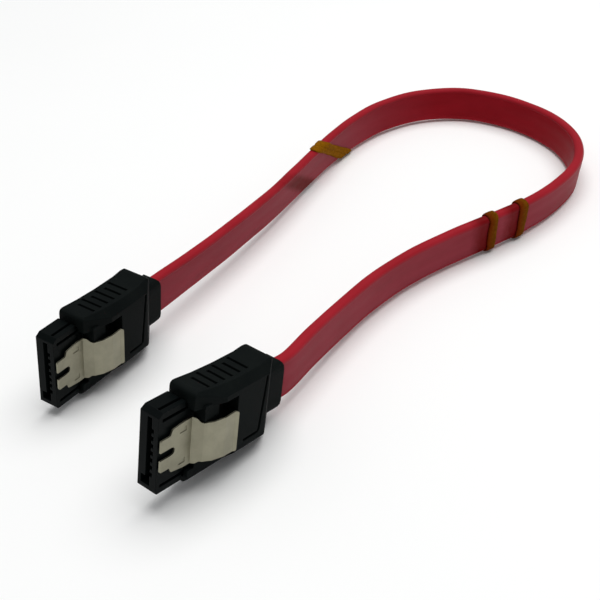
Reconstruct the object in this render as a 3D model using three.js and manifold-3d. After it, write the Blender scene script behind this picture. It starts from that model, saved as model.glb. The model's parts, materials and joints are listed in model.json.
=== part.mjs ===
// A flat red serial data cable with a straight, latching seven-contact plug on each end.
// The cable stands on its edge in one long loop and both plugs stand on their narrow sides.
// Units are millimetres and +Z is up. The floor is z = 0, and the origin is the middle of
// the rectangle that the two plugs cover on it.
import * as THREE from 'three';
import { mergeVertices } from 'three/addons/utils/BufferGeometryUtils.js';
import Module from 'manifold-3d';

const wasm = await Module();
wasm.setup();

// Plug frame: x is the thin way, towards the latch; y runs back from the nose tip to the
// cable; z is the wide way.

// Clearances
const GAP = 0.3;               // between two pieces that seat on each other
const FINE_GAP = 0.12;         // round a contact in its passage
const WIRE_GAP = 0.15;         // round a conductor in the moulding
const CABLE_GAP = 0.2;         // round the cable in the collar

// Plug nose
const NOSE_WIDTH = 14.0;
const NOSE_BACK = 1.9;         // back face, from the plug's middle plane
const NOSE_FRONT = 1.75;       // latch face, from the middle plane
const NOSE_LEN = 5.4;
const NOSE_CORNER_Y = 0.9;     // upper lead-in chamfer, along the plug
const NOSE_CORNER_Z = 0.6;     // upper lead-in chamfer, across the plug
const NOSE_KEY_CORNER = 0.3;   // smaller chamfer on the key's side
const SIDE_GROOVE_X = 0.35;    // start of the groove in each narrow side
const SIDE_GROOVE_WIDTH = 0.55;
const SIDE_GROOVE_DEPTH = 0.5;
const FACE_GROOVE_INSET = 1.0; // from the narrow side to the groove in the latch face
const FACE_GROOVE_WIDTH = 0.55;
const FACE_GROOVE_DEPTH = 0.5;

// L-shaped slot for the mating blade
const SLOT_WIDTH = 11.9;
const SLOT_X = -0.4;           // wall of the slot towards the back face
const SLOT_THICK = 0.9;
const SLOT_DEPTH = 5.0;
const KEY_LEG = 0.9;           // the slot's short leg, towards the back
const KEY_WIDTH = 1.5;

// Shank of the nose inside the moulding
const SHANK_WIDTH = 12.4;
const SHANK_BACK = 0.9;
const SHANK_FRONT = 1.6;
const SHANK_LEN = 3.9;

// Contacts
const CONTACT_COUNT = 7;
const CONTACT_PITCH = 1.27;
const CONTACT_WIDTH = 0.5;
const CONTACT_THICK = 0.2;
const CONTACT_TIP_Y = 0.5;     // tip, behind the nose tip
const CONTACT_BOW = 0.4;       // how far the bowed tip stands into the slot
const CONTACT_BOW_Y = 2.8;
const TAIL_LEN = 1.7;          // tail behind the shank

// Moulding
const BODY_BACK = 1.9;         // back face, from the middle plane
const PANEL_X = 4.8;           // flat rear panel, from the middle plane
const FRAME_X = 3.2;           // height of the moulding at its front edge
const RAMP_LEN = 5.3;          // from the front edge to where the panel height is reached
const FRONT_HALF = 8.65;
const GRIP_HALF = 7.95;
const HUMP_HALF = 8.2;
const REAR_HALF = 5.3;
const UPPER_BEVEL = 6.7;       // from the middle to where the panel's upper 45 degree bevel starts
const LOWER_BEVEL = 4.6;       // and to where its broad lower bevel starts
const UPPER_CORNER = 0.8;      // rounding of the front corner above
const LOWER_CORNER = 2.6;      // and below
const GRIP_START = 4.4;        // from the moulding's front edge to the narrow part
const GRIP_EASE = 4.5;         // from there to the narrowest part
const HUMP_START = 15.8;       // from the front edge to the thumb hump
const HUMP_RISE_LEN = 2.0;
const HUMP_LEN = 1.2;
const HUMP_FALL = 0.1;         // fall of the hump's rear end
const HUMP_LEAD = 1.8;         // how much nearer to the front the hump below lies
const SHOULDER_START = 14.9;   // from the front edge to where the panel falls away
const BODY_LEN = 19.6;         // from the front edge to the lip at the collar
const LIP_X = 1.5;             // height of the lip above the middle plane
const BODY_EDGE = 0.45;        // small bevel along the back edges

const RIB_COUNT = 6;
const RIB_FIRST = 3.3;         // first grip groove, from the front edge
const RIB_PITCH = 1.7;
const RIB_WIDTH = 0.6;
const RIB_DEPTH = 0.35;
const RIB_END_X = 2.75;
const RIB_LOWER_END_X = 0.9;   // below, they end before the broad bevel
const RIB_SHORT_X = -0.7;      // every other groove starts here
const RIB_LONG_X = -1.35;      // and the ones between start here

const BORDER_Y = 14.2;         // upper end of the groove across the panel, from the front edge
const BORDER_SLANT = 1.1;      // how much nearer to the front its lower end is
const BORDER_WIDTH = 0.5;
const BORDER_DEPTH = 0.6;
const BORDER_TOP = 0.2;        // from the panel's upper bevel to the groove
const BORDER_INSET = 1.1;      // from the panel's lower bevel to the groove along it
const BORDER_LEG = 3.3;
const BORDER_CORNER = 0.9;

// Window for the latch, with a post above the latch's neck and an open ledge below it
const WINDOW_UPPER = 5.8;      // from the middle to the window's upper wall
const WINDOW_LOWER = 5.2;      // and to its lower one, beside the ears
const WINDOW_FLOOR = 1.85;
const WINDOW_LEN = 7.9;        // from the moulding's front edge
const POST_START = 1.4;        // from the moulding's front edge
const POST_LEN = 3.0;
const POST_HALF = 3.8;         // inner face of the post and of the ledge, from the middle
const POST_X = 4.1;
const LEDGE_X = 2.6;           // height of the ledge and of the rim before it

// Collar round the cable
const COLLAR_HALF = 4.9;
const COLLAR_THICK = 4.1;
const COLLAR_LEN = 2.7;        // behind the lip
const COLLAR_CORNER = 1.95;    // radius of its section
const COLLAR_END = 2.0;        // how far its end is rounded off
const COLLAR_GRIP = 5.0;       // length of cable held in the collar

// Latch leaf, one folded piece of spring steel
const LEAF_THICK = 0.3;
const LEAF_TIP_Y = 0.1;
const FINGER_INNER = 0.7;
const FINGER_OUTER = 2.8;
const FINGER_LEN = 1.9;
const NOTCH_LEN = 2.9;         // U notch between the fingers
const STEP_HALF = 3.7;        // half width right behind the fingers
const EAR_HALF = 4.1;
const EAR_START_Y = 5.0;       // where the ears reach their full width
const EAR_END_Y = 6.65;
const NECK_HALF = 3.4;
const LEAF_END_HALF = 3.6;
const LEAF_CORNER = 0.35;      // rounding of its outline
const LEAF_BEND_Y = 6.45;      // where it bends up out of the recess
const LEAF_RAMP_LEN = 0.85;
const LEAF_RAMP_RISE = 1.7;
const LEAF_KNEE_Y = 8.6;       // where the press pad levels off
const LEAF_KNEE_RISE = 2.45;
const LEAF_PAD_RISE = 2.9;     // rise of the pad over the flat part
const LEAF_TURN_Y = 12.6;      // its rear edge turns up a little from here
const LEAF_TURN_RISE = 0.3;
const LEAF_END_Y = 13.1;
const DIMPLE_Y = 4.6;
const DIMPLE_Z = 2.8;
const DIMPLE_LEN = 1.3;
const DIMPLE_WIDTH = 0.9;
const DIMPLE_DEPTH = 0.1;

// Conductors between the contacts and the cable
const SIGNAL_RADIUS = 0.38;
const GROUND_RADIUS = 0.22;
const CONDUCTOR_FAN = 0.84;    // spread at the cable, as a share of the spread at the contacts

// Flat cable
const CABLE_WIDTH = 7.9;
const CABLE_THICK = 2.1;
const CABLE_EDGE = 0.6;        // corner bevel of its section
const CABLE_STEPS = 64;

// Elastic bands left round the cable
const BAND_THICK = 0.3;
const BAND_GAP = 0.13;

// Where the plugs stand: x and y of the nose tip, and their turn, pitch and roll in degrees
const NEAR_POSE = { x: 15.52, y: -17.14, yaw: 0, pitch: -9.3, roll: 6.0 };
const FAR_POSE = { x: -15.56, y: -9.94, yaw: 7.0, pitch: -2.6, roll: 8.3 };

// Route of the cable's middle line from the far plug to the near one, as x, y, z and the
// lean of its upper edge to the right of its run, in degrees.
const ROUTE = [
  [-20.63, 29.71, 7.2, 11.5],
  [-22.23, 40.31, 6.7, 12.5],
  [-24.13, 50.91, 6.2, 13],
  [-26.23, 61.51, 5.75, 13],
  [-28.83, 71.91, 5.35, 12.5],
  [-31.43, 82.41, 5, 11],
  [-33.63, 92.91, 4.8, 8],
  [-34.83, 103.61, 4.65, 4.5],
  [-34.13, 114.31, 4.6, 0.5],
  [-29.93, 124.11, 4.5, -2.5],
  [-21.43, 130.61, 4.35, -5],
  [-10.83, 131.81, 4.2, -6.5],
  [-0.43, 129.41, 4.1, -8],
  [9.07, 124.31, 4.1, -9],
  [16.57, 116.71, 4.1, -10],
  [21.17, 106.91, 4.15, -10.5],
  [22.37, 95.81, 4.3, -10.5],
  [21.32, 84.81, 4.6, -10.5],
  [18.42, 74.51, 4.7, -9.5],
  [15.07, 64.71, 4.6, -8.5],
  [12.72, 54.41, 4.7, -8],
  [12.07, 43.66, 5, -7],
  [12.82, 32.96, 5.4, -6.5],
  [14.27, 22.31, 6.1, -6],
];

// Bands: distance along the cable from the far plug's collar, width, and how far the band
// runs along the cable for each millimetre that it goes down across it
const FAR_BAND = { at: 75.1, width: 5.7, slant: 1.8 };
const NEAR_BANDS = [{ at: 198.25, width: 2.4, slant: 0 }, { at: 206.35, width: 2.3, slant: 0 }];

// Colours
const BLACK = 0x15191a;
const STEEL = 0x8e8b7f;
const RED = 0xa01f2c;
const OLIVE = 0x5d4a12;
const GOLD = 0xb08d57;
const COPPER = 0xa8623a;
const WHITE = 0xd8d8d2;

// Solid helpers
function solid(geometry) {
  const g = geometry.index ? geometry.clone() : geometry;
  g.deleteAttribute('normal');
  g.deleteAttribute('uv');
  const m = mergeVertices(g, 1e-5);
  return new wasm.Manifold(new wasm.Mesh({
    numProp: 3,
    vertProperties: new Float32Array(m.attributes.position.array),
    triVerts: new Uint32Array(m.index.array),
  }));
}

function geometryOf(manifold) {
  const mesh = manifold.getMesh();
  const g = new THREE.BufferGeometry();
  g.setAttribute('position', new THREE.BufferAttribute(new Float32Array(mesh.vertProperties), 3));
  g.setIndex(new THREE.BufferAttribute(new Uint32Array(mesh.triVerts), 1));
  g.computeVertexNormals();
  return g;
}

function extrude(points, depth) {
  const shape = new THREE.Shape(points.map(([a, b]) => new THREE.Vector2(a, b)));
  return new THREE.ExtrudeGeometry(shape, { depth, bevelEnabled: false, steps: 1 });
}

// Outline in (y, z), extruded along x
function acrossX(points, x0, x1) {
  const g = extrude(points, x1 - x0);
  g.applyMatrix4(new THREE.Matrix4().set(0, 0, 1, x0, 1, 0, 0, 0, 0, 1, 0, 0, 0, 0, 0, 1));
  return solid(g);
}

// Section in (z, x), extruded along y
function alongY(points, y0, y1) {
  const g = extrude(points, y1 - y0);
  g.applyMatrix4(new THREE.Matrix4().set(0, 1, 0, 0, 0, 0, 1, y0, 1, 0, 0, 0, 0, 0, 0, 1));
  return solid(g);
}

// Profile in (x, y), extruded along z
function upZ(points, z0, z1) {
  const g = extrude(points, z1 - z0);
  g.translate(0, 0, z0);
  return solid(g);
}

function box(x0, x1, y0, y1, z0, z1) {
  const g = new THREE.BoxGeometry(x1 - x0, y1 - y0, z1 - z0);
  g.translate((x0 + x1) / 2, (y0 + y1) / 2, (z0 + z1) / 2);
  return solid(g);
}

// Rounds the corners of a closed outline
function rounded(points, radius, n = 3) {
  const out = [];
  const count = points.length;
  for (let i = 0; i < count; i++) {
    const p = new THREE.Vector2(...points[i]);
    const a = new THREE.Vector2(...points[(i + count - 1) % count]).sub(p);
    const b = new THREE.Vector2(...points[(i + 1) % count]).sub(p);
    const r = Array.isArray(radius) ? radius[i] : radius;
    if (r <= 0) { out.push([p.x, p.y]); continue; }
    const angle = Math.acos(THREE.MathUtils.clamp(a.dot(b) / (a.length() * b.length()), -1, 1));
    const cut = Math.min(r / Math.tan(angle / 2), a.length() * 0.49, b.length() * 0.49);
    const p0 = p.clone().add(a.clone().setLength(cut));
    const p1 = p.clone().add(b.clone().setLength(cut));
    const curve = new THREE.QuadraticBezierCurve(p0, p, p1);
    for (const q of curve.getPoints(n)) out.push([q.x, q.y]);
  }
  return out;
}

// Derived places along a plug
const BODY_FRONT = NOSE_LEN + GAP;
const SHANK_END = NOSE_LEN + SHANK_LEN;
const LIP_Y = BODY_FRONT + BODY_LEN;
const COLLAR_END_Y = LIP_Y + COLLAR_LEN;
const CABLE_END_Y = COLLAR_END_Y - COLLAR_GRIP;
const TAIL_END = SHANK_END + TAIL_LEN;
const CONTACT_X = SLOT_X + SLOT_THICK + FINE_GAP + CONTACT_THICK / 2;
const LEAF_X = NOSE_FRONT + GAP + LEAF_THICK / 2;
const contactZ = (i) => (i - (CONTACT_COUNT - 1) / 2) * CONTACT_PITCH;

function noseSolid() {
  const h = NOSE_WIDTH / 2;
  const outline = [
    [0, -h + NOSE_KEY_CORNER], [NOSE_KEY_CORNER, -h], [NOSE_LEN, -h],
    [NOSE_LEN, h], [NOSE_CORNER_Y, h], [0, h - NOSE_CORNER_Z],
  ];
  let body = acrossX(outline, -NOSE_BACK, NOSE_FRONT);
  body = body.add(box(-SHANK_BACK, SHANK_FRONT, NOSE_LEN - 1, SHANK_END, -SHANK_WIDTH / 2, SHANK_WIDTH / 2));
  // Blade slot with its L-shaped key leg
  const s = SLOT_WIDTH / 2;
  body = body.subtract(alongY([
    [-s, SLOT_X - KEY_LEG], [-s + KEY_WIDTH, SLOT_X - KEY_LEG], [-s + KEY_WIDTH, SLOT_X],
    [s, SLOT_X], [s, SLOT_X + SLOT_THICK], [-s, SLOT_X + SLOT_THICK],
  ], -1, SLOT_DEPTH));
  // Contact passages, open to the slot and at both ends
  for (let i = 0; i < CONTACT_COUNT; i++) {
    const z = contactZ(i);
    const w = CONTACT_WIDTH / 2 + FINE_GAP;
    const deep = SLOT_X + SLOT_THICK + CONTACT_THICK + 2 * FINE_GAP;
    body = body.subtract(box(SLOT_X + SLOT_THICK - 0.05, deep, -1, SHANK_END + 1, z - w, z + w));
  }
  // Grooves beside the rails at both corners of the latch face
  for (const side of [-1, 1]) {
    const a = side * (h - SIDE_GROOVE_DEPTH);
    const b = side * (h + 1);
    body = body.subtract(box(SIDE_GROOVE_X, SIDE_GROOVE_X + SIDE_GROOVE_WIDTH, 1.0, NOSE_LEN + 1,
      Math.min(a, b), Math.max(a, b)));
    const c = side * (h - FACE_GROOVE_INSET);
    const d = side * (h - FACE_GROOVE_INSET - FACE_GROOVE_WIDTH);
    body = body.subtract(box(NOSE_FRONT - FACE_GROOVE_DEPTH, NOSE_FRONT + 1, 0.8, NOSE_LEN + 1,
      Math.min(c, d), Math.max(c, d)));
  }
  return body;
}

function contactSolid(z) {
  const t = CONTACT_THICK / 2;
  const tail = TAIL_END;
  const line = [
    [CONTACT_X, CONTACT_TIP_Y], [CONTACT_X - CONTACT_BOW * 0.55, CONTACT_BOW_Y - 0.8],
    [CONTACT_X - CONTACT_BOW, CONTACT_BOW_Y], [CONTACT_X - CONTACT_BOW * 0.55, CONTACT_BOW_Y + 0.8],
    [CONTACT_X, CONTACT_BOW_Y + 2.2], [CONTACT_X, tail],
  ];
  const front = line.map(([x, y]) => [x + t, y]);
  const back = line.map(([x, y]) => [x - t, y]).reverse();
  return upZ([...front, ...back], z - CONTACT_WIDTH / 2, z + CONTACT_WIDTH / 2);
}

// Half width of the moulding along one side, as distances behind the nose tip and half
// widths, with the hump moved towards the front by a lead
function bodySide(lead) {
  const hump = BODY_FRONT + HUMP_START - lead;
  return [
    [BODY_FRONT, FRONT_HALF], [BODY_FRONT + GRIP_START, (FRONT_HALF + 2 * GRIP_HALF) / 3],
    [BODY_FRONT + GRIP_START + GRIP_EASE, GRIP_HALF], [hump - HUMP_RISE_LEN, GRIP_HALF],
    [hump, HUMP_HALF], [hump + HUMP_LEN, HUMP_HALF - HUMP_FALL], [LIP_Y, REAR_HALF],
  ];
}

function bodyHalf(y) {
  const stations = bodySide(0);
  for (let i = 1; i < stations.length; i++) {
    const [y0, h0] = stations[i - 1];
    const [y1, h1] = stations[i];
    if (y <= y1) return h0 + (h1 - h0) * (y - y0) / (y1 - y0);
  }
  return REAR_HALF;
}

function bodyOutline() {
  const lower = bodySide(HUMP_LEAD).map(([y, half]) => [y, -half]);
  const upper = bodySide(0).reverse();
  const r = [0, 0, 0.6, 1.4, 2.2, 0.3];
  return rounded([...lower, ...upper], [LOWER_CORNER, ...r, ...[...r].reverse(), UPPER_CORNER], 4);
}

// Section of the moulding in (z, x), with its sides moved in by an inset
function bodySection(half, inset, back) {
  const top = PANEL_X - inset;
  const upper = UPPER_BEVEL + PANEL_X - inset * Math.SQRT2;
  const lower = LOWER_BEVEL + PANEL_X - inset * Math.SQRT2;
  const w = half - inset;
  return [
    [-w + BODY_EDGE, -back], [w - BODY_EDGE, -back], [w, -back + BODY_EDGE], [w, upper - w],
    [upper - top, top], [-(lower - top), top], [-w, lower - w], [-w, -back + BODY_EDGE],
  ];
}

function conductorEnds(i) {
  return [
    new THREE.Vector3(CONTACT_X - CONTACT_THICK / 2 - 0.1 - SIGNAL_RADIUS, SHANK_END + GAP + 0.1, contactZ(i)),
    new THREE.Vector3(0, CABLE_END_Y - GAP, contactZ(i) * CONDUCTOR_FAN),
  ];
}

const isGround = (i) => i === 0 || i === 3 || i === 6;

function rod(a, b, radius) {
  const length = a.distanceTo(b);
  const g = new THREE.CylinderGeometry(radius, radius, length, 10, 1);
  const turn = new THREE.Quaternion().setFromUnitVectors(
    new THREE.Vector3(0, 1, 0), b.clone().sub(a).normalize());
  g.applyQuaternion(turn);
  const mid = a.clone().add(b).multiplyScalar(0.5);
  g.translate(mid.x, mid.y, mid.z);
  return solid(g);
}

function cableSection(grow, parts = 1) {
  const w = CABLE_WIDTH / 2 + grow;
  const t = CABLE_THICK / 2 + grow;
  const e = CABLE_EDGE;
  const side = [];
  for (let i = 0; i <= parts; i++) side.push(-w + e + (2 * (w - e) * i) / parts);
  return [
    [-w, -t + e], ...side.map((z) => [z, -t]), [w, -t + e],
    [w, t - e], ...side.reverse().map((z) => [z, t]), [-w, t - e],
  ];
}

function mouldingSolid() {
  const big = 20;
  let body = acrossX(bodyOutline(), -big, big);
  body = body.intersect(alongY(bodySection(FRONT_HALF + 0.5, 0, BODY_BACK), BODY_FRONT - 1, LIP_Y + 1));
  body = body.intersect(upZ([
    [-big, BODY_FRONT - 2], [FRAME_X, BODY_FRONT - 2], [FRAME_X, BODY_FRONT], [PANEL_X, BODY_FRONT + RAMP_LEN],
    [PANEL_X, BODY_FRONT + SHOULDER_START], [LIP_X, LIP_Y], [LIP_X, LIP_Y + 1], [-big, LIP_Y + 1],
  ], -big, big));
  // Collar with a rounded section and a rounded end
  const c = COLLAR_HALF;
  const t = COLLAR_THICK / 2;
  const start = LIP_Y - 5;
  let collar = alongY(rounded([[-c, -t], [c, -t], [c, t], [-c, t]], COLLAR_CORNER, 5), start, COLLAR_END_Y);
  collar = collar.intersect(acrossX(rounded(
    [[start - 1, -c - 0.5], [COLLAR_END_Y, -c], [COLLAR_END_Y, c], [start - 1, c + 0.5]],
    [0, COLLAR_END, COLLAR_END, 0], 5), -big, big));
  body = body.add(collar);
  // Window for the latch, open on its lower side
  const windowEnd = BODY_FRONT + WINDOW_LEN;
  body = body.subtract(box(WINDOW_FLOOR, big, BODY_FRONT - 1, windowEnd, -WINDOW_LOWER, WINDOW_UPPER));
  body = body.subtract(box(LEDGE_X, big, BODY_FRONT - 1, windowEnd, -big, 0));
  // Post above the latch's neck, and the ledge below it
  const postY = BODY_FRONT + POST_START;
  body = body.add(box(WINDOW_FLOOR - 0.3, POST_X, postY, postY + POST_LEN, POST_HALF, WINDOW_UPPER + 0.5));
  body = body.add(box(WINDOW_FLOOR - 0.3, LEDGE_X, postY, windowEnd + 0.5, -WINDOW_LOWER - 0.5, -POST_HALF));
  // Socket for the shank, and the room for the soldered tails
  const s = SHANK_WIDTH / 2 + GAP;
  body = body.subtract(box(-SHANK_BACK - GAP, SHANK_FRONT + GAP, BODY_FRONT - 1, SHANK_END + GAP, -s, s));
  const half = contactZ(CONTACT_COUNT - 1) + SIGNAL_RADIUS + GAP;
  body = body.subtract(box(CONTACT_X - CONTACT_THICK - 2 * SIGNAL_RADIUS - GAP, CONTACT_X + CONTACT_THICK / 2 + WIRE_GAP,
    SHANK_END, TAIL_END + GAP, -half, half));
  // Channels for the conductors, and the pocket that the cable seats in
  for (let i = 0; i < CONTACT_COUNT; i++) {
    const [a, b] = conductorEnds(i);
    const dir = b.clone().sub(a).normalize();
    body = body.subtract(rod(a.clone().addScaledVector(dir, -0.2), b.clone().addScaledVector(dir, 1),
      (isGround(i) ? GROUND_RADIUS : SIGNAL_RADIUS) + WIRE_GAP));
  }
  body = body.subtract(alongY(cableSection(CABLE_GAP), CABLE_END_Y - GAP, COLLAR_END_Y + 1));
  // Grip grooves in both narrow sides
  for (let i = 0; i < RIB_COUNT; i++) {
    const y = BODY_FRONT + RIB_FIRST + i * RIB_PITCH;
    const from = i % 2 === 0 ? RIB_SHORT_X : RIB_LONG_X;
    let cut = box(from, RIB_END_X, y - RIB_WIDTH / 2, y + RIB_WIDTH / 2, 0, big);
    cut = cut.add(box(from, RIB_LOWER_END_X, y - RIB_WIDTH / 2, y + RIB_WIDTH / 2, -big, 0));
    cut = cut.subtract(alongY(bodySection(bodyHalf(y), RIB_DEPTH, BODY_BACK + 2), y - RIB_WIDTH, y + RIB_WIDTH));
    body = body.subtract(cut);
  }
  // Groove across the panel and round its lower corner
  const y1 = BODY_FRONT + BORDER_Y;
  const y0 = y1 - BORDER_SLANT;
  const z1 = UPPER_BEVEL - BORDER_TOP;
  const z0 = -LOWER_BEVEL + BORDER_INSET;
  const outer = rounded([
    [y1 + BORDER_WIDTH, z1], [y1, z1], [y0, z0 + BORDER_WIDTH], [y0 - BORDER_LEG, z0 + BORDER_WIDTH],
    [y0 - BORDER_LEG, z0], [y0 + BORDER_WIDTH, z0],
  ], [0, 0, BORDER_CORNER - BORDER_WIDTH, 0, 0, BORDER_CORNER], 4);
  body = body.subtract(acrossX(outer, PANEL_X - BORDER_DEPTH, PANEL_X + 1));
  return body;
}

// Outline of a sheet of even thickness that follows a profile in (x, y)
function sheet(line, thick) {
  const points = line.map(([x, y]) => new THREE.Vector2(x, y));
  const sides = points.map((p, i) => {
    const a = points[Math.max(i - 1, 0)];
    const b = points[Math.min(i + 1, points.length - 1)];
    const ahead = b.clone().sub(p).normalize();
    const behind = p.clone().sub(a).normalize();
    const run = ahead.clone().add(behind).normalize();
    const miter = 1 / Math.max(run.dot(ahead), run.dot(behind));
    return new THREE.Vector2(run.y, -run.x).multiplyScalar((thick / 2) * miter);
  });
  const front = points.map((p, i) => [p.x + sides[i].x, p.y + sides[i].y]);
  const back = points.map((p, i) => [p.x - sides[i].x, p.y - sides[i].y]).reverse();
  return [...front, ...back];
}

function leafSolid() {
  const half = [
    [LEAF_TIP_Y, FINGER_INNER], [LEAF_TIP_Y, FINGER_OUTER], [LEAF_TIP_Y + FINGER_LEN, FINGER_OUTER],
    [LEAF_TIP_Y + FINGER_LEN + LEAF_CORNER, STEP_HALF], [EAR_START_Y, EAR_HALF], [EAR_END_Y, EAR_HALF],
    [EAR_END_Y + LEAF_CORNER, NECK_HALF],
  ];
  const radii = half.map((p, i) => (i === 0 ? 0 : LEAF_CORNER));
  const side = rounded([...half, [LEAF_END_Y, LEAF_END_HALF], [LEAF_END_Y, 0]],
    [...radii, LEAF_CORNER, 0], 3).slice(0, -1);
  const notch = [];
  const r = FINGER_INNER;
  for (let i = 0; i <= 8; i++) {
    const a = -Math.PI / 2 + (Math.PI * i) / 8;
    notch.push([LEAF_TIP_Y + NOTCH_LEN - r + r * Math.cos(a), r * Math.sin(a)]);
  }
  const lower = side.map(([y, z]) => [y, -z]);
  const upper = [...side].reverse();
  const outline = [...lower, ...upper, ...notch.reverse()];
  let leaf = acrossX(outline, -10, 20);
  const line = [
    [LEAF_X, -1], [LEAF_X, LEAF_BEND_Y], [LEAF_X + LEAF_RAMP_RISE, LEAF_BEND_Y + LEAF_RAMP_LEN],
    [LEAF_X + LEAF_KNEE_RISE, LEAF_KNEE_Y], [LEAF_X + LEAF_PAD_RISE, (LEAF_KNEE_Y + LEAF_TURN_Y) / 2],
    [LEAF_X + LEAF_PAD_RISE, LEAF_TURN_Y], [LEAF_X + LEAF_PAD_RISE + LEAF_TURN_RISE * 2, 2 * LEAF_END_Y - LEAF_TURN_Y],
  ];
  leaf = leaf.intersect(upZ(sheet(line, LEAF_THICK), -10, 10));
  // Two pressed dimples: hollow on top, raised by as much below
  for (const way of [-1, 1]) {
    const z = way * DIMPLE_Z;
    const pressed = (top) => box(top - DIMPLE_DEPTH, top, DIMPLE_Y - DIMPLE_LEN / 2, DIMPLE_Y + DIMPLE_LEN / 2,
      z - DIMPLE_WIDTH / 2, z + DIMPLE_WIDTH / 2);
    leaf = leaf.subtract(pressed(LEAF_X + LEAF_THICK / 2).add(pressed(LEAF_X + LEAF_THICK / 2 + DIMPLE_DEPTH)));
    leaf = leaf.add(pressed(LEAF_X - LEAF_THICK / 2).add(pressed(LEAF_X - LEAF_THICK / 2 + DIMPLE_DEPTH)));
  }
  return leaf;
}

function material(color, roughness, metalness) {
  return new THREE.MeshStandardMaterial({ color, roughness, metalness });
}

function piece(name, manifold, mat) {
  const mesh = new THREE.Mesh(geometryOf(manifold), mat);
  mesh.name = name;
  return mesh;
}

// One plug, standing on the floor in its own group
function plug(name, pose) {
  const group = new THREE.Group();
  group.add(piece(`${name}_nose`, noseSolid(), material(BLACK, 0.45, 0)));
  group.add(piece(`${name}_moulding`, mouldingSolid(), material(BLACK, 0.55, 0)));
  group.add(piece(`${name}_latch_leaf`, leafSolid(), material(STEEL, 0.4, 1)));
  for (let i = 0; i < CONTACT_COUNT; i++) {
    group.add(piece(`${name}_contact_${i + 1}`, contactSolid(contactZ(i)), material(GOLD, 0.3, 1)));
    const [a, b] = conductorEnds(i);
    const ground = isGround(i);
    group.add(piece(`${name}_${ground ? 'ground_wire' : 'signal_core'}_${i + 1}`,
      rod(a, b, ground ? GROUND_RADIUS : SIGNAL_RADIUS),
      ground ? material(COPPER, 0.35, 1) : material(WHITE, 0.5, 0)));
  }
  const rad = THREE.MathUtils.degToRad;
  group.rotation.set(rad(pose.pitch), rad(pose.roll), rad(pose.yaw), 'ZXY');
  group.position.set(pose.x, pose.y, 0);
  group.updateMatrixWorld(true);
  const low = new THREE.Box3().setFromObject(group, true).min.z;
  group.position.z = -low;
  group.updateMatrixWorld(true);
  return group;
}

const nearPlug = plug('near', NEAR_POSE);
const farPlug = plug('far', FAR_POSE);

// Middle line of the cable: it leaves each collar straight, and its ends sit in the collars
function onPlug(group, y) {
  return new THREE.Vector3(0, y, 0).applyMatrix4(group.matrixWorld);
}

function plugUp(group) {
  return new THREE.Vector3(0, 0, 1).transformDirection(group.matrixWorld);
}

const startY = CABLE_END_Y;
const line = [
  onPlug(farPlug, startY), onPlug(farPlug, COLLAR_END_Y - 1), onPlug(farPlug, COLLAR_END_Y + 3),
  ...ROUTE.map(([x, y, z]) => new THREE.Vector3(x, y, z)),
  onPlug(nearPlug, COLLAR_END_Y + 3), onPlug(nearPlug, COLLAR_END_Y - 1), onPlug(nearPlug, startY),
];
const route = new THREE.CatmullRomCurve3(line, false, 'centripetal');
route.arcLengthDivisions = 2000;
route.updateArcLengths();
const cableLength = route.getLength();

// Up direction of the cable's section at each point of the line
const ups = line.map((p, i) => {
  if (i < 3) return plugUp(farPlug);
  if (i >= line.length - 3) return plugUp(nearPlug);
  const lean = THREE.MathUtils.degToRad(ROUTE[i - 3][3]);
  const run = line[i + 1].clone().sub(line[i - 1]).normalize();
  const side = new THREE.Vector3().crossVectors(run, new THREE.Vector3(0, 0, 1)).normalize();
  const up = new THREE.Vector3().crossVectors(side, run).normalize();
  return up.multiplyScalar(Math.cos(lean)).addScaledVector(side, Math.sin(lean)).normalize();
});

function frameAt(s) {
  const u = THREE.MathUtils.clamp(s / cableLength, 0, 1);
  const t = route.getUtoTmapping(u);
  const p = route.getPoint(t);
  const run = route.getTangent(t);
  const k = Math.min(Math.floor(t * (line.length - 1)), line.length - 2);
  const f = t * (line.length - 1) - k;
  const up = ups[k].clone().lerp(ups[k + 1], f * f * (3 - 2 * f));
  up.addScaledVector(run, -up.dot(run)).normalize();
  const side = new THREE.Vector3().crossVectors(up, run).normalize();
  return { p, up, side };
}

// A straight bar of a (width, thickness) section, bent along the cable's line, with an
// optional slant of its ends
function bent(section, s0, s1, steps, slant = 0) {
  const shape = new THREE.Shape(section.map(([w, t]) => new THREE.Vector2(t, w)).reverse());
  const g = new THREE.ExtrudeGeometry(shape, { depth: s1 - s0, steps, bevelEnabled: false });
  const pos = g.attributes.position;
  const v = new THREE.Vector3();
  for (let i = 0; i < pos.count; i++) {
    v.fromBufferAttribute(pos, i);
    const f = frameAt(s0 + v.z - slant * v.y);
    const q = f.p.clone().addScaledVector(f.side, v.x).addScaledVector(f.up, v.y);
    pos.setXYZ(i, q.x, q.y, q.z);
  }
  return solid(g);
}

const exitS = COLLAR_GRIP;
const cable = bent(cableSection(0), 0, cableLength, CABLE_STEPS);

function bandSolid({ at, width, slant }) {
  const s = exitS + at;
  const parts = slant ? 8 : 1;
  const outer = bent(cableSection(BAND_GAP + BAND_THICK, parts), s - width / 2, s + width / 2, 2, slant);
  return outer.subtract(bent(cableSection(BAND_GAP, parts), s - width, s + width, 4, slant));
}

const root = new THREE.Group();
root.add(nearPlug, farPlug);
root.add(piece('flat_cable', cable, material(RED, 0.45, 0)));
root.add(piece('far_band', bandSolid(FAR_BAND), material(OLIVE, 0.6, 0)));
NEAR_BANDS.forEach((band, i) => root.add(piece(`near_band_${i + 1}`, bandSolid(band), material(OLIVE, 0.6, 0))));

export default root;
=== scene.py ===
# %% Start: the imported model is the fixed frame
import json
import math

import bpy
from mathutils import Euler, Matrix, Vector

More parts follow.
